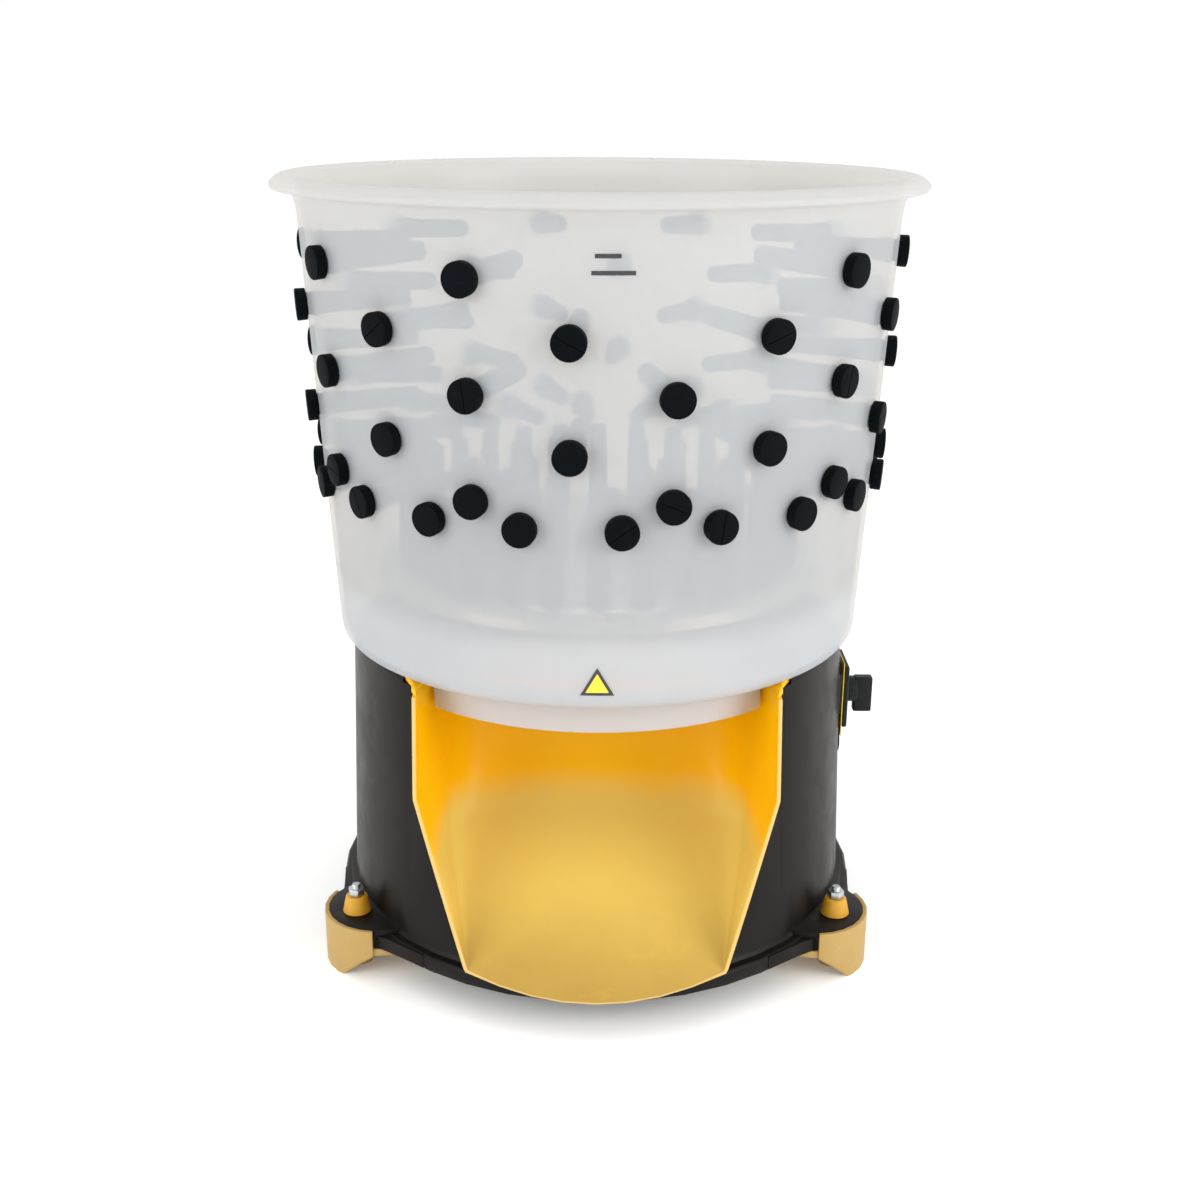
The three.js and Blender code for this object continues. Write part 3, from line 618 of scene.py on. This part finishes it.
def buildChute(sizes):
    corner, levels = sizes["lipCorner"], sizes["levels"]
    heights = [corner + (sizes["top"] - corner) * (k / levels) ** 1.15 for k in range(1, levels + 1)]
    rows = [lipSection(corner, sizes)] + [
        [(x, y, z) for x, y in chuteSection(z, sizes)] for z in heights]
    body = bmesh.new()
    columns = len(rows[0])
    bmesh.ops.create_grid(body, x_segments=columns - 1, y_segments=len(rows) - 1, size=1)
    for v in body.verts:
        column = round((v.co.x + 1) / 2 * (columns - 1))
        row = round((v.co.y + 1) / 2 * (len(rows) - 1))
        v.co = Vector(rows[row][column]) * mm
    bmesh.ops.remove_doubles(body, verts=body.verts, dist=2e-5)
    bmesh.ops.dissolve_degenerate(body, edges=body.edges, dist=1e-6)
    bmesh.ops.recalc_face_normals(body, faces=body.faces)
    lowest = min(body.faces, key=lambda f: f.calc_center_median().z)
    if lowest.normal.z < 0:
        bmesh.ops.reverse_faces(body, faces=body.faces)
    inner = set(body.faces)
    bmesh.ops.solidify(body, geom=body.faces[:], thickness=sizes["wall"] * mm)
    flange = bmesh.new()
    hole = chuteSection(sizes["top"], sizes)
    outline = [flange.verts.new((x * mm, y * mm, sizes["top"] * mm - 0.0002))
               for x, y in sizes["flange"] + hole[::-1]]
    flange.faces.new(outline)
    risen = bmesh.ops.extrude_face_region(flange, geom=flange.faces[:])
    bmesh.ops.translate(flange, verts=[v for v in risen["geom"] if isinstance(v, bmesh.types.BMVert)],
                        vec=(0, 0, (sizes["flangeTop"] - sizes["top"]) * mm + 0.0002))
    bmesh.ops.recalc_face_normals(flange, faces=flange.faces)
    for f in flange.faces:
        f.material_index = 1 if f.normal.y < -0.9 else 0
    bevelSharp(flange, 1.2, 50, 3)
    for f in body.faces:
        middle = f.calc_center_median() / mm
        reach = middle.xy.length - frontRadius(middle.z)
        if abs(reach) < 2.4 and abs(f.normal.z) < 0.75 and f.normal.y < -0.5 and f not in inner:
            f.material_index = 1
    bevelSharp(body, sizes["edge"], 50, 2)
    return joinInto(body, flange)


makePiece("feather_chute_moulding", buildChute(chuteSizes), [chutePlastic, trimmedEdge], "frame",
          ["chute"], 40)


# ---- base shell ----
print("base shell")

baseSizes = {"edge": 1.3}
makePiece("base_shell_moulding", bevelSharp(cadCopy("base_shell", 1.0), baseSizes["edge"], 35, 2),
          baseShellPlastic, "frame", ["base_shell"], 28)


# ---- feet with their cones, bolts and nuts ----
print("feet")

footSizes = {"edge": 1.4, "nutFlats": 13, "boltRadius": 4.0, "threadPitch": 1.25}


def hexBody(acrossFlats, low, high, edge):
    body = bmesh.new()
    bmesh.ops.create_circle(body, cap_ends=True, segments=6, radius=acrossFlats / math.sqrt(3) * mm)
    bmesh.ops.translate(body, vec=(0, 0, low * mm), verts=body.verts)
    risen = bmesh.ops.extrude_face_region(body, geom=body.faces[:])
    top = [v for v in risen["geom"] if isinstance(v, bmesh.types.BMVert)]
    bmesh.ops.translate(body, vec=(0, 0, (high - low) * mm), verts=top)
    bmesh.ops.recalc_face_normals(body, faces=body.faces)
    return bevelSharp(body, edge, 30, 2)


# Ridges one thread pitch apart stand for the thread.
def threadedRod(radius, low, high, pitch):
    points = [(0, low, 0), (radius - 0.5, low, 0)]
    z = low + 0.4
    while z + pitch < high - 0.3:
        points += [(radius - 0.55, z, 0), (radius, z + pitch / 2, 0)]
        z += pitch
    points += [(radius - 0.7, high, 0), (0, high, 0)]
    return turnedBody(softProfile(points, 2), 24)


for side in ("left", "right", "rear"):
    makePiece("foot_%s_pad" % side, bevelSharp(cadCopy("foot_" + side, 1.0), footSizes["edge"], 35, 2),
              footPlastic, "frame", ["foot_" + side], 30)
    low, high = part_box("foot_cap_" + side)
    middle = centreOf("foot_cap_" + side)
    at = Matrix.Translation((middle.x, middle.y, 0))
    makePiece("foot_%s_cone" % side, turnedBody(softProfile([
        (4.7, low.z / mm, 0.3), (13, low.z / mm, 0.8), (12.6, low.z / mm + 1.8, 0.8),
        (9.5, high.z / mm, 1.6), (4.7, high.z / mm, 0.5)], 4, True), 48, True, at), capPlastic,
        "frame", ["foot_cap_" + side])
    low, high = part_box("foot_nut_" + side)
    nut = hexBody(footSizes["nutFlats"], low.z / mm, high.z / mm, 0.6)
    bmesh.ops.transform(nut, matrix=at @ aroundAxis(17), verts=nut.verts)
    makePiece("foot_%s_nut" % side, nut, brightZinc, "frame", ["foot_nut_" + side])
    low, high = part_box("foot_bolt_" + side)
    bolt = hexBody(footSizes["nutFlats"], low.z / mm, low.z / mm + 5.3, 0.6)
    joinInto(bolt, threadedRod(footSizes["boltRadius"], low.z / mm + 5, high.z / mm,
                               footSizes["threadPitch"]))
    bmesh.ops.transform(bolt, matrix=at, verts=bolt.verts)
    makePiece("foot_%s_bolt" % side, bolt, brightZinc, "frame", ["foot_bolt_" + side])


# ---- switch, knob and inlet ----
print("switch")

toRight = Matrix.Rotation(math.pi / 2, 4, "Y")
switchSizes = {"plateEdge": 1.6, "gripEdge": 1.8, "gripStart": 245, "gripInset": 7.5,
               "stemStart": 218, "neckStart": 236.9, "axisHeight": 0.219}


def sideTurned(node, profile, segments=48):
    middle = centreOf(node)
    place = Matrix.Translation((0, middle.y, middle.z)) @ toRight
    return turnedBody(profile, segments, place=place)


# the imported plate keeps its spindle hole, and only its outer edges are rounded
outerEdge = lambda e: all(abs(v.co.y) > 24.5 * mm for v in e.verts)
cover = bevelSharp(cadCopy("switch_plate", 1.0), switchSizes["plateEdge"], 35, 3, outerEdge)
makePiece("switch_cover", cover, switchPlastic, "frame", ["switch_plate"])
low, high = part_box("switch_knob")
inset, stem, neckLow = switchSizes["gripInset"], switchSizes["stemStart"], switchSizes["neckStart"]
knob = boxBody((switchSizes["gripStart"], low.y / mm + inset, low.z / mm),
               (high.x / mm, high.y / mm - inset, high.z / mm - 0.2), switchSizes["gripEdge"])
neck = turnedBody(softProfile([
    (0, stem, 0), (3, stem, 0), (3, neckLow, 0), (13, neckLow, 0.4), (12.8, 238.6, 0.4),
    (12.2, 239.2, 0.3), (12.4, 240, 0.4), (12.2, 247.6, 1.2), (0, 248, 0)], 3), 48,
    place=Matrix.Translation((0, 0, switchSizes["axisHeight"])) @ toRight)
joinInto(knob, neck)
makePiece("switch_knob_grip", knob, switchPlastic, "knob", ["switch_knob"])
low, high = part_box("power_inlet")
inlet = sideTurned("power_inlet", softProfile([
    (0, 204, 0), (10, 204, 0.6), (10, 231.2, 0), (12.5, 231.2, 0.3), (12.3, 233, 0.5),
    (6.5, 233, 0.4), (6.5, 216, 0.4), (0, 216, 0)], 3))
makePiece("power_inlet_socket", inlet, switchPlastic, "frame", ["power_inlet"])


# ---- printed marks on the tub ----
print("marks")

markSizes = {"lift": 0.25, "thick": 0.2, "azimuth": 2.3,
             "dashes": [(19, 3.2, 650.5, -4.0), (32, 3.2, 638.5, 0.0)],
             "triangleWidth": 27, "triangleLow": 307, "border": 2.4}


# Lays a flat outline in X and Z round the tub's outer wall.
def wrapOnWall(body, azimuth, lift):
    for v in body.verts:
        z = v.co.z / mm
        r = (wallRadius(z) + lift) * mm + v.co.y
        a = math.radians(azimuth) + v.co.x / r
        v.co = Vector((r * math.sin(a), -r * math.cos(a), v.co.z))


dashes = bmesh.new()
for width, height, z, shift in markSizes["dashes"]:
    plate = boxBody((shift - width / 2, -markSizes["thick"] / 2, z - height / 2),
                    (shift + width / 2, markSizes["thick"] / 2, z + height / 2), 0.08, 1)
    for x in range(int(-width / 2) + 2, int(width / 2), 4):
        bmesh.ops.bisect_plane(plate, geom=plate.verts[:] + plate.edges[:] + plate.faces[:],
                               dist=1e-7, plane_co=((x + shift) * mm, 0, 0), plane_no=(1, 0, 0))
    joinInto(dashes, plate)
wrapOnWall(dashes, markSizes["azimuth"], markSizes["lift"])
bmesh.ops.recalc_face_normals(dashes, faces=dashes.faces)
makePiece("tub_print_dashes", dashes, printInk, "frame")

triangle = bmesh.new()
half = markSizes["triangleWidth"] / 2
tall = markSizes["triangleWidth"] * 0.88
base = markSizes["triangleLow"]
corners = [triangle.verts.new((x * mm, 0, z * mm)) for x, z in
           ((-half, base), (half, base), (0, base + tall))]
face = triangle.faces.new(corners)
triangle.normal_update()
inner = bmesh.ops.inset_region(triangle, faces=[face], thickness=markSizes["border"] * mm,
                               use_even_offset=True, use_boundary=True)
face.material_index = 1
for f in inner["faces"]:
    f.material_index = 0
for x in range(-12, 13, 3):
    bmesh.ops.bisect_plane(triangle, geom=triangle.verts[:] + triangle.edges[:] + triangle.faces[:],
                           dist=1e-7, plane_co=(x * mm, 0, 0), plane_no=(1, 0, 0))
wrapOnWall(triangle, 0, markSizes["lift"])
bmesh.ops.recalc_face_normals(triangle, faces=triangle.faces)
bmesh.ops.solidify(triangle, geom=triangle.faces[:], thickness=markSizes["thick"] * mm)
makePiece("tub_sticker_triangle", triangle, [printInk, labelVinyl], "frame")


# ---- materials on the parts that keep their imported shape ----
print("carried-over parts")

carriedOver = {
    castAluminium: ["rotor_hub", "bearing_housing", "motor_pulley", "rotor_pulley"],
    turnedSteel: ["drive_shaft", "bearing_upper", "bearing_lower", "motor_shaft"],
    brightZinc: ["motor_plate"] + ["plate_screw_%d" % i for i in range(1, 5)]
    + ["motor_screw_%d" % i for i in range(1, 5)] + ["guard_screw_%d" % i for i in range(1, 4)]
    + ["tub_screw_%d" % i for i in range(1, 4)],
    fingerRubber: ["shaft_seal", "drive_belt"],
    motorPaint: ["motor_body", "switch_body"],
    switchPlastic: ["bottom_guard"],
    labelVinyl: ["switch_label"],
}
for material, nodes in carriedOver.items():
    for node in nodes:
        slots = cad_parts[node].material_slots
        for slot in slots:
            slot.material = material
        if not slots:
            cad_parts[node].data.materials.append(material)


# ---- floor, light and camera ----
print("stage")

stageSizes = {"floorSize": 14, "floorColour": "#fefefd", "floorGlow": 0.07, "worldColour": "#ffffff",
              "worldLight": 1.02, "frontLight": 0.62}
floorBody = bmesh.new()
bmesh.ops.create_grid(floorBody, x_segments=2, y_segments=2, size=stageSizes["floorSize"] / 2)
floorMesh = bpy.data.meshes.new("studio_floor")
floorBody.to_mesh(floorMesh)
floorBody.free()
floor = bpy.data.objects.new("studio_floor", floorMesh)
scene.collection.objects.link(floor)
paper = emptyMaterial("matPaperFloor")
addNode(paper.node_tree, "ShaderNodeOutputMaterial", inputs={"Surface": addNode(
    paper.node_tree, "ShaderNodeBsdfPrincipled", inputs={
        "Base Color": toLinear(stageSizes["floorColour"]), "Roughness": 0.9,
        "Emission Color": toLinear(stageSizes["floorColour"]),
        "Emission Strength": stageSizes["floorGlow"]}).outputs[0]})  # lit paper, white to its edge
floorMesh.materials.append(paper)

world = bpy.data.worlds.new("studioWorld")
scene.world = world
world.use_nodes = True
world.node_tree.nodes.clear()
# the room is dimmer on the front side, so dark surfaces that face it stay dark
towards = addNode(world.node_tree, "ShaderNodeTexCoord").outputs["Generated"]
frontness = addNode(world.node_tree, "ShaderNodeSeparateXYZ", inputs={"Vector": towards}).outputs["Y"]
dimmed = addNode(world.node_tree, "ShaderNodeMapRange", {"interpolation_type": "SMOOTHSTEP"}, {
    "Value": frontness, "From Min": -0.95, "From Max": 0.0,
    "To Min": stageSizes["frontLight"], "To Max": stageSizes["worldLight"]})
sky = addNode(world.node_tree, "ShaderNodeBackground", inputs={
    "Color": toLinear(stageSizes["worldColour"]), "Strength": dimmed.outputs[0]})
addNode(world.node_tree, "ShaderNodeOutputWorld", inputs={"Surface": sky.outputs[0]})

softLights = [
    {"name": "topLight", "at": (0.0, 0.3, 2.6), "to": (0, 0, 0.3), "size": 2.2, "power": 8},
    {"name": "frontLight", "at": (0.0, -2.3, 2.3), "to": (0, 0, 0.3), "size": 1.3, "power": 9},
    {"name": "leftLight", "at": (-2.1, -1.7, 1.2), "to": (0, 0, 0.35), "size": 1.5, "power": 33},
    {"name": "rightLight", "at": (2.2, -1.5, 1.2), "to": (0, 0, 0.35), "size": 1.5, "power": 42},
]
for setting in softLights:
    data = bpy.data.lights.new(setting["name"], "AREA")
    data.shape = "SQUARE"
    data.size = setting["size"]
    data.energy = setting["power"]
    lamp = bpy.data.objects.new(setting["name"], data)
    lamp.location = setting["at"]
    aim = Vector(setting["to"]) - Vector(setting["at"])
    lamp.rotation_euler = aim.to_track_quat("-Z", "Y").to_euler()
    scene.collection.objects.link(lamp)

cameraSizes = {"at": (0, -1.3636, 0.7662), "pitch": 18.62, "roll": 0.29, "lens": 45.97,
               "shiftX": 0.002}
cameraData = bpy.data.cameras.new("camera")
cameraData.lens = cameraSizes["lens"]
cameraData.sensor_width = 36
cameraData.shift_x = cameraSizes["shiftX"]
camera = bpy.data.objects.new("camera", cameraData)
tip = Matrix.Rotation(math.radians(90 - cameraSizes["pitch"]), 4, "X")
camera.matrix_world = Matrix.Translation(cameraSizes["at"]) @ tip @ Matrix.Rotation(
    math.radians(cameraSizes["roll"]), 4, "Z")
scene.collection.objects.link(camera)
scene.camera = camera
scene.view_settings.view_transform = "Standard"
